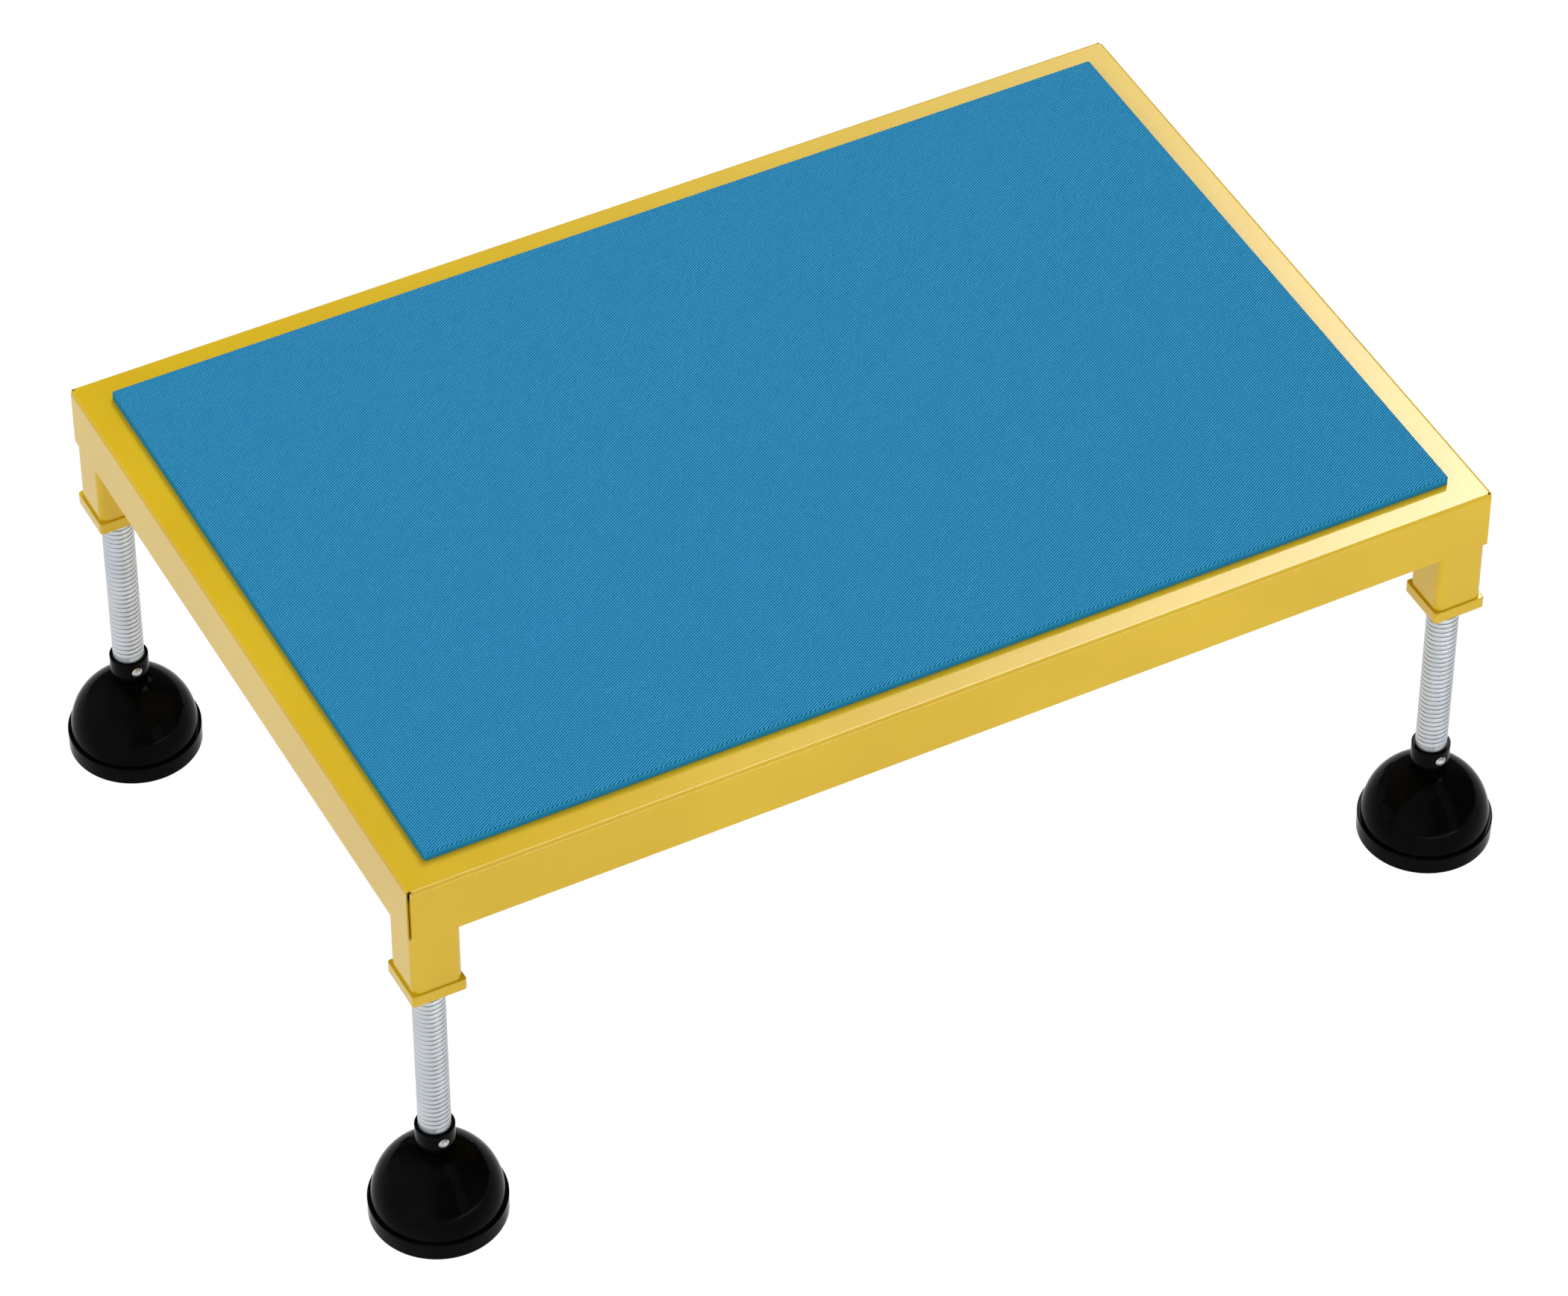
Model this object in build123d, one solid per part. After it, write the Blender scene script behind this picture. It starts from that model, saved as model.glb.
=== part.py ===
"""Low poolside standing platform on four screw legs with suction cups.

A folded sheet-steel pan with a bonded mat is the deck. A square tube is welded
into each corner of the pan, and its lower end is closed by a threaded plug.
Each foot is a threaded rod, pinned into a ball-ended collar that turns in the
seat of a rubber suction cup, so turning a rod raises or lowers its corner.

Millimetres. The origin is on the floor under the middle of the deck, +X runs
along the deck's length, -Y is the front and +Z is up.
"""

from build123d import *
from math import acos, asin, degrees, sqrt
import os

# Deck pan and mat
DECK_LENGTH = 900.0
DECK_WIDTH = 600.0
PAN_SHEET = 1.5
PAN_BEND_OUTER = 3.0
PAN_DEPTH = 50.6
LONG_FLANGE_SETBACK = 2.0
SHORT_FLANGE_SETBACK = 3.6
RELIEF_HOLE_RADIUS = 1.3
RELIEF_HOLE_INSET_X = 2.8
RELIEF_HOLE_INSET_Y = 2.4
MAT_BORDER = 25.0
MAT_THICKNESS = 7.4
MAT_CORNER_RADIUS = 2.0
MAT_EDGE_RADIUS = 1.6

# Top-hat rails under the deck
RAIL_SPACING = 300.0
RAIL_WIDTH = 40.0
RAIL_DEPTH = 25.0
RAIL_LIP = 15.0
RAIL_SHEET = 1.5
RAIL_END_GAP = 4.0

# Legs
LEG_SIZE = 40.0
LEG_WALL = 3.0
LEG_CORNER_RADIUS = 6.0
LEG_LENGTH = 105.5
PLATE_SIZE = 43.5
PLATE_THICKNESS = 10.2
PLATE_CORNER_RADIUS = 2.5
PLATE_EDGE_RADIUS = 0.8
PLUG_DEPTH = 22.0
PLUG_FIT = 0.1

# Threaded rod, collar and pin
ROD_RADIUS = 12.5
ROD_LENGTH = 246.0
ROD_SHOWING = 154.05
ROD_CHAMFER = 1.5
THREAD_FIT = 0.05
COLLAR_WALL = 2.7
COLLAR_FIT = 0.05
COLLAR_CYLINDER = 13.4
COLLAR_CHAMFER = 0.6
ROD_SEAT_BELOW_BALL_CENTRE = 4.7
PIN_ABOVE_BALL_CENTRE = 4.6
PIN_RADIUS = 3.0
PIN_FIT = 0.02
PIN_HEAD_RADIUS = 4.3
PIN_HEAD_PROUD = 2.4
PIN_HEAD_SINK = 0.65
PIN_HEAD_FIT = 0.15

# Suction cup, with the screw and washer that hold the collar's ball in it
CUP_RIM_RADIUS = 53.0
CUP_RIM_HEIGHT = 15.0
CUP_RIM_CHAMFER = 0.8
CUP_LIP_WIDTH = 2.5
DOME_RADIUS = 50.4
DOME_WALL = 8.4
ROOF_DROP = 2.0
BOSS_RADIUS = 13.5
BOSS_HEIGHT = 3.8
SEAT_DEPTH = 5.05
TURNING_GAP = 0.3
SCREW_RADIUS = 4.0
SCREW_HOLE_GAP = 0.4
SCREW_FIT = 0.03
SCREW_HEAD_FLATS = 13.0
SCREW_HEAD_HEIGHT = 5.3
SCREW_END_GAP = 0.5
WASHER_RADIUS = 12.0
WASHER_THICKNESS = 2.0

# Heights above the floor, stacked up from the cup
DOME_TOP_Z = CUP_RIM_HEIGHT + DOME_RADIUS
BOSS_TOP_Z = DOME_TOP_Z + BOSS_HEIGHT
SEAT_FLOOR_Z = BOSS_TOP_Z - SEAT_DEPTH
COLLAR_RADIUS = ROD_RADIUS + COLLAR_WALL + COLLAR_FIT
BALL_Z = SEAT_FLOOR_Z + TURNING_GAP + COLLAR_RADIUS
COLLAR_TOP_Z = BALL_Z + COLLAR_CYLINDER
ROD_BOTTOM_Z = BALL_Z - ROD_SEAT_BELOW_BALL_CENTRE
ROD_TOP_Z = ROD_BOTTOM_Z + ROD_LENGTH
PIN_Z = BALL_Z + PIN_ABOVE_BALL_CENTRE
PIN_LENGTH = 2 * (COLLAR_RADIUS + PIN_HEAD_PROUD)
CAVITY_RADIUS = DOME_RADIUS - DOME_WALL
ROOF_Z = CUP_RIM_HEIGHT + CAVITY_RADIUS - ROOF_DROP
WASHER_BOTTOM_Z = ROOF_Z - WASHER_THICKNESS
SCREW_HEAD_TOP_Z = WASHER_BOTTOM_Z - TURNING_GAP
PLATE_BOTTOM_Z = COLLAR_TOP_Z + ROD_SHOWING
PLATE_TOP_Z = PLATE_BOTTOM_Z + PLATE_THICKNESS
PLUG_TOP_Z = PLATE_TOP_Z + PLUG_DEPTH
PAN_UNDERSIDE_Z = PLATE_TOP_Z + LEG_LENGTH
DECK_TOP_Z = PAN_UNDERSIDE_Z + PAN_SHEET

# Places and sizes that follow
PAN_BEND_INNER = PAN_BEND_OUTER - PAN_SHEET
LEG_X = DECK_LENGTH / 2 - PAN_SHEET - LEG_SIZE / 2
LEG_Y = DECK_WIDTH / 2 - PAN_SHEET - LEG_SIZE / 2
LEG_PLACES = {
    "front_left": (-LEG_X, -LEG_Y),
    "front_right": (LEG_X, -LEG_Y),
    "rear_left": (-LEG_X, LEG_Y),
    "rear_right": (LEG_X, LEG_Y),
}


def block(length, width, bottom, top):
    """An upright block about the Z axis between two heights."""
    at_bottom = (Align.CENTER, Align.CENTER, Align.MIN)
    return Pos(0, 0, bottom) * Box(length, width, top - bottom, align=at_bottom)


def rounded_bar(size, radius, bottom, top):
    """An upright square bar about the Z axis with rounded corners."""
    return fillet(block(size, size, bottom, top).edges().filter_by(Axis.Z), radius)


def rod(radius, bottom, top):
    """An upright cylinder about the Z axis between two heights."""
    at_bottom = (Align.CENTER, Align.CENTER, Align.MIN)
    return Pos(0, 0, bottom) * Cylinder(radius, top - bottom, align=at_bottom)


def turned(*outline):
    """A solid turned about Z from an outline of radius and height."""
    return revolve(make_face([Plane.XZ * edge for edge in outline]), Axis.Z)


def arc(centre_height, radius, start, end):
    """Part of a circle centred on the axis, between two angles in degrees."""
    return CenterArc((0, centre_height), radius, start, end - start)


def deck_pan():
    """Folded tray, open below. Its flanges stop short of each other at the corners."""
    bottom = DECK_TOP_Z - PAN_DEPTH
    outside = block(DECK_LENGTH, DECK_WIDTH, bottom, DECK_TOP_Z)
    outside = fillet(outside.faces().sort_by(Axis.Z)[-1].edges(), PAN_BEND_OUTER)
    inside = block(
        DECK_LENGTH - 2 * PAN_SHEET, DECK_WIDTH - 2 * PAN_SHEET, bottom, PAN_UNDERSIDE_Z
    )
    inside = fillet(inside.faces().sort_by(Axis.Z)[-1].edges(), PAN_BEND_INNER)
    pan = outside - inside
    notch = block(2 * LONG_FLANGE_SETBACK, 2 * SHORT_FLANGE_SETBACK, bottom, DECK_TOP_Z)
    relief = rod(RELIEF_HOLE_RADIUS, PAN_UNDERSIDE_Z - PAN_BEND_INNER, DECK_TOP_Z)
    for side in (-1, 1):
        for end in (-1, 1):
            pan -= Pos(side * DECK_LENGTH / 2, end * DECK_WIDTH / 2, 0) * notch
            hole_x = side * (DECK_LENGTH / 2 - RELIEF_HOLE_INSET_X)
            hole_y = end * (DECK_WIDTH / 2 - RELIEF_HOLE_INSET_Y)
            pan -= Pos(hole_x, hole_y, 0) * relief
    return pan


def deck_mat():
    """Flat mat bonded on the pan, with a plain border all round it."""
    length = DECK_LENGTH - 2 * MAT_BORDER
    width = DECK_WIDTH - 2 * MAT_BORDER
    mat = block(length, width, DECK_TOP_Z, DECK_TOP_Z + MAT_THICKNESS)
    mat = fillet(mat.edges().filter_by(Axis.Z), MAT_CORNER_RADIUS)
    return fillet(mat.faces().sort_by(Axis.Z)[-1].edges(), MAT_EDGE_RADIUS)


def deck_rail():
    """Top-hat rail that runs across under the deck, with its lips on the pan."""
    length = DECK_WIDTH - 2 * (PAN_SHEET + RAIL_END_GAP)
    lips_bottom = PAN_UNDERSIDE_Z - RAIL_SHEET
    bottom = PAN_UNDERSIDE_Z - RAIL_DEPTH
    rail = block(RAIL_WIDTH + 2 * RAIL_LIP, length, lips_bottom, PAN_UNDERSIDE_Z)
    rail += block(RAIL_WIDTH, length, bottom, PAN_UNDERSIDE_Z)
    inside_width = RAIL_WIDTH - 2 * RAIL_SHEET
    return rail - block(inside_width, length, bottom + RAIL_SHEET, PAN_UNDERSIDE_Z)


def leg_tube():
    """Square tube. Its top edge is bevelled to clear the inside of the pan's bend."""
    tube = rounded_bar(LEG_SIZE, LEG_CORNER_RADIUS, PLATE_TOP_Z, PAN_UNDERSIDE_Z)
    tube = chamfer(tube.faces().sort_by(Axis.Z)[-1].edges(), PAN_BEND_INNER)
    bore_size = LEG_SIZE - 2 * LEG_WALL
    bore_radius = LEG_CORNER_RADIUS - LEG_WALL
    return tube - rounded_bar(bore_size, bore_radius, PLATE_TOP_Z, PAN_UNDERSIDE_Z)


def leg_plate():
    """End plate of the leg, with a plug that fits inside the tube and a threaded hole."""
    plate = rounded_bar(PLATE_SIZE, PLATE_CORNER_RADIUS, PLATE_BOTTOM_Z, PLATE_TOP_Z)
    rims = plate.faces().sort_by(Axis.Z)[0].edges() + plate.faces().sort_by(Axis.Z)[-1].edges()
    plate = fillet(rims, PLATE_EDGE_RADIUS)
    plug_size = LEG_SIZE - 2 * LEG_WALL - 2 * PLUG_FIT
    plug_radius = LEG_CORNER_RADIUS - LEG_WALL - PLUG_FIT
    plate += rounded_bar(plug_size, plug_radius, PLATE_TOP_Z - PLATE_THICKNESS / 2, PLUG_TOP_Z)
    return plate - rod(ROD_RADIUS + THREAD_FIT, PLATE_BOTTOM_Z, PLUG_TOP_Z)


def pin_hole():
    """Cross hole for the pin, from front to back through rod and collar."""
    return Pos(0, 0, PIN_Z) * Rot(90, 0, 0) * Cylinder(PIN_RADIUS + PIN_FIT, PIN_LENGTH)


def threaded_rod():
    """Leg screw, shown as a plain bar of the thread's outer diameter."""
    bar = rod(ROD_RADIUS, ROD_BOTTOM_Z, ROD_TOP_Z)
    bar = chamfer(bar.faces().sort_by(Axis.Z)[-1].edges(), ROD_CHAMFER)
    return bar - pin_hole()


def swivel_collar():
    """Sleeve on the rod's lower end whose underside is half a ball."""
    bore = ROD_RADIUS + COLLAR_FIT
    screw_bore = SCREW_RADIUS + SCREW_FIT
    lowest = -degrees(acos(screw_bore / COLLAR_RADIUS))
    ball_edge_z = BALL_Z - sqrt(COLLAR_RADIUS**2 - screw_bore**2)
    collar = turned(
        arc(BALL_Z, COLLAR_RADIUS, lowest, 0),
        Polyline(
            (COLLAR_RADIUS, BALL_Z),
            (COLLAR_RADIUS, COLLAR_TOP_Z - COLLAR_CHAMFER),
            (COLLAR_RADIUS - COLLAR_CHAMFER, COLLAR_TOP_Z),
            (bore, COLLAR_TOP_Z),
            (bore, ROD_BOTTOM_Z),
            (screw_bore, ROD_BOTTOM_Z),
            (screw_bore, ball_edge_z),
        ),
    )
    recess = Cylinder(PIN_HEAD_RADIUS + PIN_HEAD_FIT, COLLAR_RADIUS)
    recess = Rot(90, 0, 0) * recess
    out = COLLAR_RADIUS - PIN_HEAD_SINK + COLLAR_RADIUS / 2
    collar -= pin_hole()
    return collar - Pos(0, -out, PIN_Z) * recess - Pos(0, out, PIN_Z) * recess


def collar_pin():
    """Riveted cross pin with a domed head at each end."""
    seat = COLLAR_RADIUS - PIN_HEAD_SINK
    crown = PIN_LENGTH / 2
    dome_rise = PIN_HEAD_PROUD
    dome_radius = (PIN_HEAD_RADIUS**2 + dome_rise**2) / (2 * dome_rise)
    dome_half = degrees(asin(PIN_HEAD_RADIUS / dome_radius))
    pin = turned(
        Polyline(
            (0, crown),
            (0, -crown),
        ),
        arc(-crown + dome_radius, dome_radius, -90, -90 + dome_half),
        Polyline(
            (PIN_HEAD_RADIUS, -COLLAR_RADIUS),
            (PIN_HEAD_RADIUS, -seat),
            (PIN_RADIUS, -seat),
            (PIN_RADIUS, seat),
            (PIN_HEAD_RADIUS, seat),
            (PIN_HEAD_RADIUS, COLLAR_RADIUS),
        ),
        arc(crown - dome_radius, dome_radius, 90 - dome_half, 90),
    )
    return Pos(0, 0, PIN_Z) * Rot(90, 0, 0) * pin


def suction_cup():
    """Rubber dome on a straight rim, hollow below, with a ball seat in the boss on top."""
    hole = SCREW_RADIUS + SCREW_HOLE_GAP
    seat_radius = COLLAR_RADIUS + TURNING_GAP
    seat_mouth = sqrt(seat_radius**2 - (BALL_Z - BOSS_TOP_Z) ** 2)
    seat_edge_z = BALL_Z - sqrt(seat_radius**2 - hole**2)
    boss_foot_z = CUP_RIM_HEIGHT + sqrt(DOME_RADIUS**2 - BOSS_RADIUS**2)
    roof_edge = sqrt(CAVITY_RADIUS**2 - (ROOF_Z - CUP_RIM_HEIGHT) ** 2)
    return turned(
        arc(
            BALL_Z,
            seat_radius,
            -degrees(acos(hole / seat_radius)),
            -degrees(acos(seat_mouth / seat_radius)),
        ),
        Polyline(
            (seat_mouth, BOSS_TOP_Z),
            (BOSS_RADIUS, BOSS_TOP_Z),
            (BOSS_RADIUS, boss_foot_z),
        ),
        arc(CUP_RIM_HEIGHT, DOME_RADIUS, degrees(acos(BOSS_RADIUS / DOME_RADIUS)), 0),
        Polyline(
            (DOME_RADIUS, CUP_RIM_HEIGHT),
            (CUP_RIM_RADIUS - CUP_RIM_CHAMFER, CUP_RIM_HEIGHT),
            (CUP_RIM_RADIUS, CUP_RIM_HEIGHT - CUP_RIM_CHAMFER),
            (CUP_RIM_RADIUS, 0),
            (CUP_RIM_RADIUS - CUP_LIP_WIDTH, 0),
            (CAVITY_RADIUS, CUP_RIM_HEIGHT),
        ),
        arc(CUP_RIM_HEIGHT, CAVITY_RADIUS, 0, degrees(acos(roof_edge / CAVITY_RADIUS))),
        Polyline((roof_edge, ROOF_Z), (hole, ROOF_Z), (hole, seat_edge_z)),
    )


def cup_washer():
    """Washer against the roof inside the cup."""
    disc = rod(WASHER_RADIUS, WASHER_BOTTOM_Z, ROOF_Z)
    return disc - rod(SCREW_RADIUS + SCREW_HOLE_GAP, WASHER_BOTTOM_Z, ROOF_Z)


def cup_screw():
    """Hexagon screw up through the cup into the collar's ball, which it turns with."""
    head = RegularPolygon(SCREW_HEAD_FLATS / 2, 6, major_radius=False)
    head = Pos(0, 0, SCREW_HEAD_TOP_Z - SCREW_HEAD_HEIGHT) * extrude(head, SCREW_HEAD_HEIGHT)
    return head + rod(SCREW_RADIUS, SCREW_HEAD_TOP_Z, ROD_BOTTOM_Z - SCREW_END_GAP)


FOOT_PIECES = {
    "leg_tube": leg_tube,
    "leg_plate": leg_plate,
    "threaded_rod": threaded_rod,
    "swivel_collar": swivel_collar,
    "collar_pin": collar_pin,
    "suction_cup": suction_cup,
    "cup_washer": cup_washer,
    "cup_screw": cup_screw,
}


def platform():
    """Every piece of the platform by name."""
    pieces = {"deck_pan": deck_pan(), "deck_mat": deck_mat()}
    for name, side in (("left", -1), ("right", 1)):
        pieces[f"deck_rail_{name}"] = Pos(side * RAIL_SPACING / 2, 0, 0) * deck_rail()
    for kind, make in FOOT_PIECES.items():
        piece = make()
        for corner, (x, y) in LEG_PLACES.items():
            pieces[f"{kind}_{corner}"] = Pos(x, y, 0) * piece
    return pieces


os.makedirs("parts", exist_ok=True)
for name, piece in platform().items():
    export_step(piece, f"parts/{name}.step")
print(f"deck top {DECK_TOP_Z:.2f}, mat top {DECK_TOP_Z + MAT_THICKNESS:.2f}")
print(f"a foot can go {ROD_TOP_Z - PLUG_TOP_Z:.2f} down and {PAN_UNDERSIDE_Z - ROD_TOP_Z:.2f} up")
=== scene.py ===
"""A raised pool step: a folded yellow deck with a blue textile mat, four square legs, and under each
leg a threaded rod that ends in a swivelling black suction cup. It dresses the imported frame."""
import math

import bpy
import numpy as np
from mathutils import Matrix, Vector


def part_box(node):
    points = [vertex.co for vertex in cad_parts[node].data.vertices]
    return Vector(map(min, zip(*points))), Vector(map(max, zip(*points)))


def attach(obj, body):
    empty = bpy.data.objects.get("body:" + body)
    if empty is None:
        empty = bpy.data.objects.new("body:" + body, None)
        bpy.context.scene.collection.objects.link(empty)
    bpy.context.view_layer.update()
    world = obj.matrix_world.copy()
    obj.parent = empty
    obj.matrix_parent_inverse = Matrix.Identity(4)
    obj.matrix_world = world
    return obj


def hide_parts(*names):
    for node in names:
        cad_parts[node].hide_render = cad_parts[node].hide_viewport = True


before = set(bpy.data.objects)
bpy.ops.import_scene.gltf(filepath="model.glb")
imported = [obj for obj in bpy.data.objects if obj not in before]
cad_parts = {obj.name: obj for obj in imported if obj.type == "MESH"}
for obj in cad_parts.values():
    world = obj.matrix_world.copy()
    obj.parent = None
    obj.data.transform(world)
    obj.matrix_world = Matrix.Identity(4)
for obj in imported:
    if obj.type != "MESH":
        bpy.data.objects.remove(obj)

CORNERS = ("front_left", "front_right", "rear_left", "rear_right")
MM = 0.001
THREAD_PITCH = 4.6 * MM
THREAD_DEPTH = 0.95 * MM
THREAD_START = 1.2 * MM     # the plain stretch of rod above the collar
ROD_CHAMFER = 1.5 * MM
MAT_CORNER, MAT_EDGE, MAT_TUCK = 2.0 * MM, 1.6 * MM, 0.5 * MM
WELD_REACH, WELD_RIPPLE = 2.4 * MM, 2.6 * MM
WELD_GAP, WELD_BOW = 0.8 * MM, 6.0 * MM     # how far the bead's line stands off the leg, and its bend's radius
WELD_END = 3 * MM           # where it stops, short of the leg's outer faces
FLOOR_LEVEL = -45 * MM      # just under the lowest reach of the feet, 40 mm below where they stand at rest
ROOM_RADIUS, ROOM_HEIGHT, ROOM_SIDES = 13.0, 12.0, 48
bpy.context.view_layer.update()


# ---------------------------------------------------------------- shader arithmetic

class Value:
    """One number that changes over a surface. Every operator adds a Math node and gives back its result."""

    def __init__(self, paint, socket):
        self.paint, self.socket = paint, socket

    def math(self, operation, *others):
        return self.paint.add("ShaderNodeMath", {"operation": operation}, dict(enumerate((self, *others))))

    def turned(self, operation, first):
        return self.paint.add("ShaderNodeMath", {"operation": operation}, {0: first, 1: self})

    def __add__(self, other): return self.math("ADD", other)
    def __sub__(self, other): return self.math("SUBTRACT", other)
    def __mul__(self, other): return self.math("MULTIPLY", other)
    def __truediv__(self, other): return self.math("DIVIDE", other)
    def __pow__(self, other): return self.math("POWER", other)
    def __neg__(self): return self.math("MULTIPLY", -1.0)
    def __radd__(self, other): return self.turned("ADD", other)
    def __rsub__(self, other): return self.turned("SUBTRACT", other)
    def __rmul__(self, other): return self.turned("MULTIPLY", other)
    def __rtruediv__(self, other): return self.turned("DIVIDE", other)

    def wave(self):
        """A cosine of one turn for each whole number, from 0 in the hollow to 1 on the crest."""
        return (self * (2 * math.pi)).math("COSINE") * 0.5 + 0.5

    def rise(self, start, end):
        """0 up to start and 1 from end on, with a smooth S between them."""
        return self.paint.add("ShaderNodeMapRange", {"interpolation_type": "SMOOTHSTEP"},
                              {0: self, 1: start, 2: end, 3: 0.0, 4: 1.0})


class Paint:
    """A node tree, and the one way in which its nodes are added."""

    def __init__(self, tree):
        self.tree = tree
        tree.nodes.clear()

    def add(self, kind, settings=(), values=(), out=0):
        """A node of that kind: its settings first, then the values and links of its inputs. Gives one output."""
        node = self.tree.nodes.new(kind)
        for name, setting in dict(settings).items():
            setattr(node, name, setting)
        for name, value in dict(values).items():
            if isinstance(value, Value):
                self.tree.links.new(value.socket, node.inputs[name])
            else:
                node.inputs[name].default_value = value
        return Value(self, node.outputs[out]) if len(node.outputs) else None

    def place(self):
        """The point on the piece, in metres, as a vector and as its three numbers."""
        point = self.add("ShaderNodeTexCoord", out="Object")
        split = self.add("ShaderNodeSeparateXYZ", values={0: point}).socket.node
        return point, [Value(self, s) for s in split.outputs]

    def noise(self, where, scale, detail=2.0, roughness=0.5):
        return self.add("ShaderNodeTexNoise",
                        values={"Vector": where, "Scale": scale, "Detail": detail, "Roughness": roughness})

    def mix(self, amount, first, second):
        """Two colours mixed: amount 0 is the first."""
        return self.add("ShaderNodeMix", {"data_type": "RGBA"}, {0: amount, 6: first, 7: second}, out=2)

    def bump(self, height, depth, strength=1.0):
        """The normal of a surface whose height goes from 0 to 1 over that depth in metres."""
        return self.add("ShaderNodeBump", values={"Height": height, "Distance": depth, "Strength": strength})

    def surface(self, **sockets):
        """The Principled surface with those sockets, as the tree's output."""
        names = {name.replace("_", " "): value for name, value in sockets.items()}
        if "Specular Level" in names:
            names["Specular IOR Level"] = names.pop("Specular Level")
        shader = self.add("ShaderNodeBsdfPrincipled", values=names)
        self.add("ShaderNodeOutputMaterial", values={"Surface": shader})


def material(name):
    made = bpy.data.materials.new(name)
    made.use_nodes = True
    return made, Paint(made.node_tree)


def colour(red, green, blue):
    """A colour for a socket, from linear red, green and blue."""
    return (red, green, blue, 1.0)


# ---------------------------------------------------------------- finishes

def stoved_enamel():
    """Sunny yellow powder coat: glossy, with the low orange peel of a baked coat and a slightly uneven tone. In the
    narrow slit between each leg's outer corner and the folded sheet round it the colour is painted near black, as
    painted shade, strongest up under the deck's top."""
    made, paint = material("stoved_enamel")
    point, (x, y, z) = paint.place()
    leg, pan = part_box("leg_tube_rear_right")[1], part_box("deck_pan")
    side, end = x.math("ABSOLUTE"), y.math("ABSOLUTE")
    # Painted shade: the slit round each leg's outer corner is mixed towards near black, fading lower down.
    painted_gap_shade = side.rise(leg.x - 5.5 * MM, leg.x - 4.5 * MM) * end.rise(leg.y - 5.5 * MM, leg.y - 4.5 * MM)
    painted_gap_shade = painted_gap_shade * (1.0 - side.rise(leg.x + 0.1 * MM, leg.x + 0.4 * MM))
    painted_gap_shade = painted_gap_shade * (1.0 - end.rise(leg.y + 0.1 * MM, leg.y + 0.4 * MM))
    painted_gap_shade = painted_gap_shade * z.rise(pan[0].z, pan[0].z + 1.5 * MM) * (1.0 - z.rise(pan[1].z - 1.5 * MM, pan[1].z - 1.3 * MM))
    painted_gap_shade = painted_gap_shade * (0.28 + 0.72 * z.rise(pan[1].z - 16 * MM, pan[1].z - 6 * MM))
    cloud = paint.noise(point, 7.0, 3.0)
    peel = paint.noise(point, 230.0, 1.0)
    grain = paint.noise(point, 1500.0, 1.0)
    tone = paint.mix(cloud.rise(0.3, 0.7), colour(0.605, 0.392, 0.0085), colour(0.640, 0.424, 0.0115))
    paint.surface(Base_Color=paint.mix(painted_gap_shade, tone, colour(0.012, 0.007, 0.001)), IOR=1.42,
                  Roughness=0.06 + 0.05 * cloud + 0.02 * grain, Normal=paint.bump(peel, 0.03 * MM))
    return made


def twill_mat():
    """Blue ribbed textile over foam: slanting cords 1.8 mm apart, each a row of overlapping beads, painted darker in
    the grooves between them as painted shade and paler on their crests as a painted highlight. Down the long sides the
    cords lie flatter and closer, and round the short sides it is pulled almost smooth. Both side patterns are set
    higher than the top's, and the long sides are mixed towards a paler blue: painted light that lightens these upright
    faces."""
    made, paint = material("twill_mat")
    point, (x, y, z) = paint.place()
    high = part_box("deck_mat")[1]
    thread = paint.noise(point, 260.0, 2.0) - 0.5
    cord = (x * 264.0 + y * -484.0 + thread * 0.28).wave()
    bead = (x * 739.0 + y * -212.0 + thread * 0.7).wave()
    top = (cord * (0.62 + 0.38 * bead) + 0.08 * bead) * (0.85 + 0.3 * paint.noise(point, 480.0, 2.0))
    # Painted light: the side patterns are set higher than the top's, so these upright faces come out lighter.
    long_side = (x * -139.0 + z * 667.0 + thread * 0.2).wave() * 0.85 + 0.22
    short_side = 0.42 + 0.16 * (y * 139.0 + z * 540.0).wave()
    at_end = x.math("ABSOLUTE").rise(high.x - 0.9 * MM, high.x - 0.2 * MM)
    side = long_side * (1.0 - at_end) + short_side * at_end
    down = z.rise(high.z - 2.0 * MM, high.z - 0.5 * MM)
    rib = top * down + side * (1.0 - down)
    cloud = paint.noise(point, 16.0, 3.0)
    # The cloth's blue, painted darker down in the grooves between the cords as painted shade.
    dyed_with_groove_shade = paint.mix(rib, colour(0.0, 0.055, 0.168), colour(0.022, 0.385, 0.668))
    # Painted highlight: the tops of the cords are mixed towards a pale blue.
    crest_highlight = paint.mix(rib ** 4.0 * 0.7, dyed_with_groove_shade, colour(0.210, 0.530, 0.790))
    # Random patches of a duller blue over it; the mix still carries the painted shade and highlight.
    worn_with_painted_light = paint.mix(cloud.rise(0.25, 0.75) * 0.12, crest_highlight, colour(0.012, 0.200, 0.395))
    # Painted light: the long sides' upright faces are mixed towards a paler blue.
    painted_side_light = (1.0 - down) * (1.0 - at_end) * (0.45 + 0.35 * side)
    cloth_colour = paint.mix(painted_side_light, worn_with_painted_light, colour(0.024, 0.390, 0.900))
    fuzz = paint.noise(point, 2600.0, 1.0)
    paint.surface(Base_Color=cloth_colour, Roughness=0.65 + 0.2 * fuzz, Specular_Level=0.0,
                  Normal=paint.bump(rib + fuzz * 0.15, 0.45 * MM, 0.8))
    return made


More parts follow.
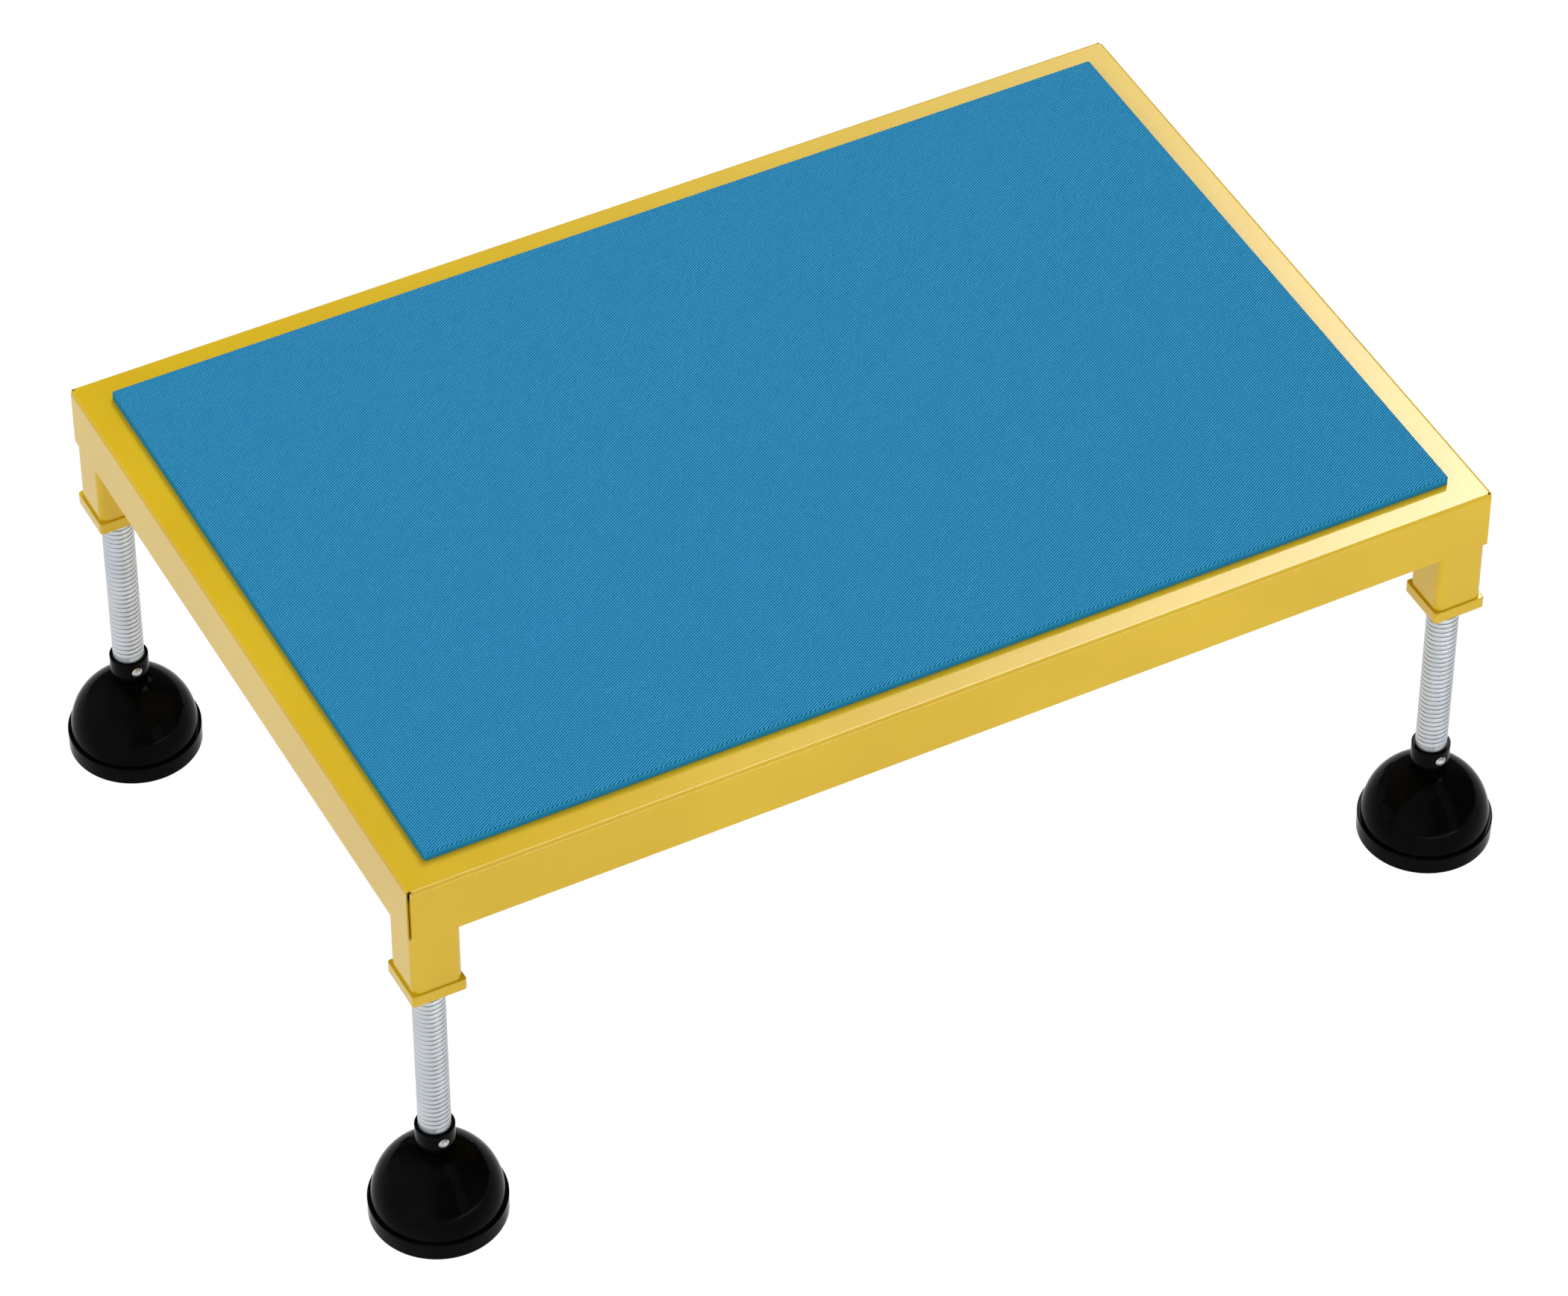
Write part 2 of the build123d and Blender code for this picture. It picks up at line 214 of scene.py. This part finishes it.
def zinc_steel(name, shaded_roots=False):
    """Bright zinc plate: pale blue-grey, faintly clouded, with fine marks that run round the rod. In the roots of
    a thread the colour is painted darker, as painted shade, from the distance to the rod's axis."""
    made, paint = material(name)
    point, (x, y, _) = paint.place()
    drawn_out = paint.add("ShaderNodeMapping", values={"Vector": point, "Scale": (60.0, 60.0, 2400.0)})
    round_marks = paint.noise(drawn_out, 1.0, 2.0)
    cloud = paint.noise(point, 45.0, 3.0)
    tone = paint.mix(cloud.rise(0.3, 0.7), colour(0.52, 0.555, 0.585), colour(0.58, 0.615, 0.65))
    if shaded_roots:
        # Painted shade: the thread's roots are mixed towards dark grey by their distance from the rod's axis.
        low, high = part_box("threaded_rod_rear_right")
        off_x = x.math("ABSOLUTE") - (low.x + high.x) / 2
        off_y = y.math("ABSOLUTE") - (low.y + high.y) / 2
        reach = (off_x * off_x + off_y * off_y).math("SQRT")
        crest = (high.x - low.x) / 2
        root = 1.0 - reach.rise(crest - 0.8 * MM, crest - 0.15 * MM)
        tone = paint.mix(0.48 * root, tone, colour(0.16, 0.17, 0.185))
    paint.surface(Base_Color=tone, Metallic=0.9, Roughness=0.27 + 0.12 * cloud + 0.08 * round_marks,
                  Normal=paint.bump(round_marks, 0.015 * MM))
    return made


def bright_steel():
    """Polished pin steel with short fine scratches."""
    made, paint = material("bright_steel")
    point, _ = paint.place()
    streaks = paint.add("ShaderNodeMapping", values={"Vector": point, "Rotation": (0.3, 0.7, 0.5),
                                                     "Scale": (300.0, 3500.0, 900.0)})
    scratch = paint.noise(streaks, 1.0, 2.0)
    paint.surface(Base_Color=paint.mix(scratch, colour(0.42, 0.43, 0.44), colour(0.56, 0.57, 0.58)), Metallic=1.0,
                  Roughness=0.28 + 0.16 * scratch, Normal=paint.bump(scratch, 0.01 * MM))
    return made


def moulded_black(name, shine, grain_size, grain_depth, level):
    """Black moulding: nearly no colour, a fine moulded grain, and a bloom that dulls the shine in soft patches."""
    made, paint = material(name)
    point, _ = paint.place()
    bloom = paint.noise(point, 38.0, 3.0)
    grain = paint.noise(point, 1.0 / grain_size, 2.0)
    tone = paint.mix(bloom.rise(0.35, 0.75), colour(0.0012, 0.0012, 0.0013), colour(0.0028, 0.0028, 0.0031))
    paint.surface(Base_Color=tone, Roughness=shine + 0.07 * bloom + 0.03 * grain, Specular_Level=level,
                  Normal=paint.bump(grain, grain_depth))
    return made


# ---------------------------------------------------------------- shapes

def piece(name, points, faces, finish, crease=35.0):
    """A mesh at its place in the frame, smooth but for the edges that turn more than crease degrees."""
    mesh = bpy.data.meshes.new(name)
    mesh.from_pydata(np.asarray(points, float).tolist(), [], faces)
    mesh.update()
    mesh.polygons.foreach_set("use_smooth", np.ones(len(mesh.polygons), bool))
    mesh.set_sharp_from_angle(angle=math.radians(crease))
    mesh.materials.append(finish)
    made = bpy.data.objects.new(name, mesh)
    bpy.context.scene.collection.objects.link(made)
    return made


def ring_faces(rings, around):
    """The quads between neighbouring rings of the same count, from the lowest ring up, facing out."""
    row, column = np.meshgrid(np.arange(rings - 1), np.arange(around), indexing="ij")
    after = (column + 1) % around
    quads = np.stack((row * around + column, row * around + after,
                      (row + 1) * around + after, (row + 1) * around + column), -1)
    return quads.reshape(-1, 4).tolist()


def rounded_mat(name, low, high, corner, edge, tuck, finish):
    """The plan is a rectangle whose corners are quarter circles, set in by d at each height z. The bottom tucks in by
    a quarter circle of radius tuck, the wall is upright, and the top edge is a quarter circle of radius edge:
    d = edge (1 - cos t), z = top - edge (1 - sin t). The top is one flat face."""
    t = np.linspace(0, math.pi / 2, 7)
    draw = np.concatenate((tuck * (1 - np.sin(t)), edge * (1 - np.cos(t))))
    height = np.concatenate((low.z + tuck * (1 - np.cos(t)), high.z - edge * (1 - np.sin(t))))
    turn = np.linspace(0, math.pi / 2, 9)
    angle = (np.arange(4)[:, None] * math.pi / 2 + turn).ravel()
    side_x = np.repeat((1, -1, -1, 1), 9) * ((high.x - low.x) / 2 - corner)
    side_y = np.repeat((1, 1, -1, -1), 9) * ((high.y - low.y) / 2 - corner)
    tightest = 0.15 * MM
    radius = np.maximum(corner - draw, tightest)[:, None]
    inward = np.maximum(draw - (corner - tightest), 0.0)[:, None]
    x = (low.x + high.x) / 2 + side_x - np.sign(side_x) * inward + radius * np.cos(angle)
    y = (low.y + high.y) / 2 + side_y - np.sign(side_y) * inward + radius * np.sin(angle)
    points = np.stack((x, y, np.broadcast_to(height[:, None], x.shape)), -1).reshape(-1, 3)
    around, rings = len(angle), len(draw)
    faces = ring_faces(rings, around)
    faces.append(list(range(around))[::-1])
    faces.append(list(range((rings - 1) * around, rings * around)))
    return piece(name, points, faces, finish, 60.0)


def threaded_rod(name, low, high, start, pitch, depth, chamfer, finish, around=72):
    """A right-hand thread on a slanted lattice: column a stands at angle 2 pi a / A, and row (k, s) climbs with it,
    z = start + pitch (k + s + a / A), so every row runs along the thread and column A is column 0 one turn on.
    The radius is R - depth f (0.72 exp(-(u / 0.34 mm)^2) + 0.34 (2s - 1)^2), where u is the distance to the groove
    and f goes from 0 to 1 in the first turn and back in the last. Plain rings and chamfered flat ends close it."""
    radius = (high.x - low.x) / 2
    middle = np.array(((low.x + high.x) / 2, (low.y + high.y) / 2))
    share = np.array((0.0, 0.035, 0.07, 0.11, 0.17, 0.28, 0.42, 0.58, 0.72, 0.83, 0.89, 0.93, 0.965))
    step = len(share)
    turns = int((high.z - chamfer - start) / pitch) - 1
    row = np.arange(turns * step + 1)
    s, k = share[row % step], row // step
    climb = (k + s)[:, None] + np.arange(around) / around
    angle = 2 * math.pi * np.arange(around) / around
    u = np.minimum(s, 1 - s) * pitch
    groove = 0.72 * np.exp(-(u / (0.34 * MM)) ** 2) + 0.34 * (2 * s - 1) ** 2
    fade = np.clip(np.minimum(climb - 0.15, turns + 0.85 - climb), 0, 1)
    reach = radius - depth * groove[:, None] * fade * fade * (3 - 2 * fade)
    thread = np.stack((middle[0] + reach * np.cos(angle), middle[1] + reach * np.sin(angle), start + pitch * climb), -1)

    def circle(r, z):
        return np.stack((middle[0] + r * np.cos(angle), middle[1] + r * np.sin(angle), np.full(around, z)), -1)

    lead = 0.4 * MM
    top = start + pitch * (turns + 1) + lead
    rings = np.stack((circle(radius - chamfer, low.z), circle(radius, low.z + chamfer),
                      circle(radius, start - lead), circle(radius, top),
                      circle(radius, high.z - chamfer), circle(radius - chamfer, high.z)))
    first = rings.size // 3
    points = np.concatenate((rings.reshape(-1, 3), thread.reshape(-1, 3)))
    faces = [f for f in ring_faces(6, around) if not 2 * around <= min(f) < 3 * around]

    r, c = np.meshgrid(np.arange(len(row) - 1), np.arange(around - 1), indexing="ij")
    quads = first + np.stack((r * around + c, r * around + c + 1, (r + 1) * around + c + 1, (r + 1) * around + c),
                             -1).reshape(-1, 4)
    m = np.arange(len(row) - 1 - step)
    seam = first + np.stack((m * around + around - 1, (m + step) * around,
                             (m + step + 1) * around, (m + 1) * around + around - 1), -1)
    faces += quads.tolist() + seam.tolist()

    c = np.arange(around - 1)
    last = len(row) - 1
    faces += np.stack((2 * around + c, 2 * around + c + 1, first + c + 1, first + c), -1).tolist()
    faces += np.stack((first + last * around + c, first + last * around + c + 1,
                       3 * around + c + 1, 3 * around + c), -1).tolist()
    faces.append([3 * around - 1, 2 * around] + (first + around * np.arange(step + 1)).tolist() + [first + around - 1])
    faces.append([first + (last - step) * around + around - 1, first + last * around, 3 * around, 4 * around - 1]
                 + (first + around * np.arange(last, last - step, -1) + around - 1).tolist())
    faces.append(list(range(around))[::-1])
    faces.append(list(range(5 * around, 6 * around)))
    return piece(name, points, faces, finish, 30.0)


def weld_bead(name, route, reach, ripple, finish, around=14):
    """A bead carried along a level route. At the length s its radius is reach (0.92 + 0.08 |cos(pi s / ripple)|),
    times the fourth root of 1 - (2s / L - 1)^8 so that both ends run out round. L is the route's whole length."""
    route = np.asarray(route, float)
    run = np.concatenate(([0.0], np.cumsum(np.linalg.norm(np.diff(route, axis=0), axis=1))))
    s = np.linspace(0.0, run[-1], int(run[-1] / (0.6 * MM)))
    line = np.stack([np.interp(s, run, route[:, i]) for i in range(3)], -1)
    along = np.gradient(line, axis=0)
    along /= np.linalg.norm(along, axis=1)[:, None]
    beside = np.stack((along[:, 1], -along[:, 0], np.zeros(len(s))), -1)
    radius = reach * (0.92 + 0.08 * np.abs(np.cos(math.pi * s / ripple)))
    radius = radius * np.maximum(1.0 - (2 * s / run[-1] - 1.0) ** 8, 0.002) ** 0.25
    turn = 2 * math.pi * np.arange(around) / around
    out = beside[:, None, :] * np.cos(turn)[:, None] + np.array((0.0, 0.0, 1.0)) * np.sin(turn)[:, None]
    points = (line[:, None, :] + radius[:, None, None] * out).reshape(-1, 3)
    faces = [face[::-1] for face in ring_faces(len(s), around)]
    faces.append(list(range(around)))
    faces.append(list(range((len(s) - 1) * around, len(s) * around))[::-1])
    return piece(name, points, faces, finish, 70.0)


# ---------------------------------------------------------------- the step

enamel = stoved_enamel()
cloth = twill_mat()
zinc = zinc_steel("zinc_steel")
rolled_thread = zinc_steel("rolled_thread", shaded_roots=True)
polished = bright_steel()
rubber = moulded_black("suction_rubber", 0.035, 1.4 * MM, 0.004 * MM, 0.024)
nylon = moulded_black("collar_nylon", 0.1, 0.8 * MM, 0.006 * MM, 0.026)

FINISH = {"deck": enamel, "leg_tube": enamel, "leg_plate": enamel, "swivel_collar": nylon, "collar_pin": polished,
          "suction_cup": rubber, "cup_washer": zinc, "cup_screw": zinc, "threaded_rod": zinc}
for name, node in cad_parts.items():
    for made_slot in node.material_slots:
        made_slot.material = next(finish for start, finish in FINISH.items() if name.startswith(start))

mat = rounded_mat("textile_mat", *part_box("deck_mat"), MAT_CORNER, MAT_EDGE, MAT_TUCK, cloth)
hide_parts("deck_mat")
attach(mat, "frame")

for corner in CORNERS:
    low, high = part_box("threaded_rod_" + corner)
    collar_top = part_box("swivel_collar_" + corner)[1].z
    rod = threaded_rod("screw_thread_" + corner, low, high, collar_top + THREAD_START, THREAD_PITCH,
                       THREAD_DEPTH, ROD_CHAMFER, rolled_thread)
    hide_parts("threaded_rod_" + corner)
    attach(rod, "screw_" + corner)

    # each leg is welded to the pan's underside along its two inner faces and round the corner between them
    low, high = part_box("leg_tube_" + corner)
    to_x, to_y = math.copysign(1, low.x), math.copysign(1, low.y)
    near_x, far_x = sorted((abs(low.x), abs(high.x)))
    near_y, far_y = sorted((abs(low.y), abs(high.y)))
    bend = np.linspace(0, math.pi / 2, 9)
    arc = np.stack((near_x + WELD_BOW - (WELD_BOW + WELD_GAP) * np.sin(bend),
                    near_y + WELD_BOW - (WELD_BOW + WELD_GAP) * np.cos(bend)), -1)
    route = np.concatenate(([(far_x - WELD_END, near_y - WELD_GAP)], arc, [(near_x - WELD_GAP, far_y - WELD_END)]))
    route = np.column_stack((to_x * route[:, 0], to_y * route[:, 1], np.full(len(route), high.z - WELD_GAP)))
    bead = weld_bead("leg_weld_" + corner, route, WELD_REACH, WELD_RIPPLE, enamel)
    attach(bead, "frame")


# ---------------------------------------------------------------- camera, floor and light

def camera():
    """The viewing angle: turned to the left of the front and looking down at 44 degrees, through a long lens."""
    azimuth, elevation, roll = (math.radians(a) for a in (-27.66, 44.351, 0.112))
    distance, aside, above = 5.35558, -0.006021, 0.156122
    back = Vector((math.sin(azimuth) * math.cos(elevation), -math.cos(azimuth) * math.cos(elevation),
                   math.sin(elevation)))
    level = (-back).cross(Vector((0, 0, 1))).normalized()
    upright = level.cross(-back)
    right = math.cos(roll) * level + math.sin(roll) * upright
    up = -math.sin(roll) * level + math.cos(roll) * upright
    data = bpy.data.cameras.new("view")
    data.sensor_width, data.lens, data.clip_end = 36.0, 162.98, 100.0
    made = bpy.data.objects.new("view", data)
    deck_top = Vector((0, 0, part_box("deck_pan")[1].z))
    place = deck_top + back * distance - right * aside - up * above
    made.matrix_world = Matrix.Translation(place) @ Matrix((right, up, back)).transposed().to_4x4()
    bpy.context.scene.collection.objects.link(made)
    bpy.context.scene.camera = made


def floor_glow(paint):
    """A white light table, with a brighter slanting strip out in front of it."""
    _, (x, y, _) = paint.place()
    aside = x + 0.38 * y + 0.114
    strip = y.rise(-5.5, -3.6) * (1.0 - y.rise(-2.0, -0.75))
    strip = strip * aside.rise(-1.4, -0.55) * (1.0 - aside.rise(0.45, 0.55))
    return 1.0 + 5.5 * strip


def stage_piece(name, points, faces, glow, seen_only=False):
    """A glowing surface of the studio, which isn't part of the step."""
    mesh = bpy.data.meshes.new(name)
    mesh.from_pydata(np.asarray(points, float).tolist(), [], faces)
    made_glow, paint = material(name)
    light = glow(paint) if callable(glow) else colour(glow, glow, glow)
    shader = paint.add("ShaderNodeEmission", values={"Color": light, "Strength": 1.0})
    paint.add("ShaderNodeOutputMaterial", values={"Surface": shader})
    mesh.materials.append(made_glow)
    made = bpy.data.objects.new(name, mesh)
    bpy.context.scene.collection.objects.link(made)
    if seen_only:
        made.visible_diffuse = made.visible_glossy = made.visible_shadow = made.visible_transmission = False
    return made


def sky():
    """A soft grey room with pale light ahead, from the left and overhead, a tall narrow screen in front, a small
    softbox high behind, and a strong one behind to the right. Its near edge fades in with about the cube of the
    bearing, from 19 degrees right of the back to 36."""
    world = bpy.data.worlds.new("studio")
    world.use_nodes = True
    bpy.context.scene.world = world
    paint = Paint(world.node_tree)
    split = paint.add("ShaderNodeSeparateXYZ", values={0: paint.add("ShaderNodeTexCoord", out="Generated")}).socket.node
    x, y, z = (Value(paint, s) for s in split.outputs)
    bearing = x.math("ARCTAN2", y) * (180 / math.pi)
    height = z.math("ARCSINE") * (180 / math.pi)
    edge = ((bearing - 19.0) / 16.5).math("MAXIMUM", 0.0).math("MINIMUM", 1.03) ** 3.2
    strong = edge * (1.0 - bearing.rise(44.0, 58.0)) * height.rise(30.0, 46.0) * (1.0 - height.rise(52.0, 62.0))
    ahead = (x * -0.35 + y * -0.88 + z * 0.32).rise(0.1, 0.75)
    high = z.rise(0.75, 0.80) * (1.0 - y.rise(0.48, 0.58)) * y.rise(-0.02, 0.1)
    high = high * x.rise(0.12, 0.24) * (1.0 - x.rise(0.44, 0.54))
    left = (x * -0.95 + z * 0.3).rise(0.2, 0.85)
    screen = x.rise(0.14, 0.24) * (1.0 - x.rise(0.42, 0.52)) * (1.0 - y.rise(-0.1, 0.05)) * z.rise(-0.02, 0.05)
    overhead = z.rise(0.84, 0.97)
    light = 0.15 + 15.6 * strong + 0.1 * ahead + 0.95 * left + 0.55 * overhead + 4.6 * high + 0.8 * screen
    background = paint.add("ShaderNodeBackground", values={"Color": light, "Strength": 1.0})
    paint.add("ShaderNodeOutputWorld", values={"Surface": background})


camera()
half = ROOM_RADIUS + 1.0
stage_piece("floor", np.array(((-1, -1, 0), (1, -1, 0), (1, 1, 0), (-1, 1, 0))) * half + (0, 0, FLOOR_LEVEL),
            [(0, 1, 2, 3)], floor_glow)
turn = np.tile(np.linspace(0, 2 * math.pi, ROOM_SIDES, endpoint=False), 2)
wall = np.stack((ROOM_RADIUS * np.cos(turn), ROOM_RADIUS * np.sin(turn),
                 np.repeat((-0.1, ROOM_HEIGHT), ROOM_SIDES)), -1)
stage_piece("backdrop", wall, ring_faces(2, ROOM_SIDES) + [list(range(ROOM_SIDES, 2 * ROOM_SIDES))], 1.0, True)
sky()
bpy.context.scene.view_settings.view_transform = "Standard"
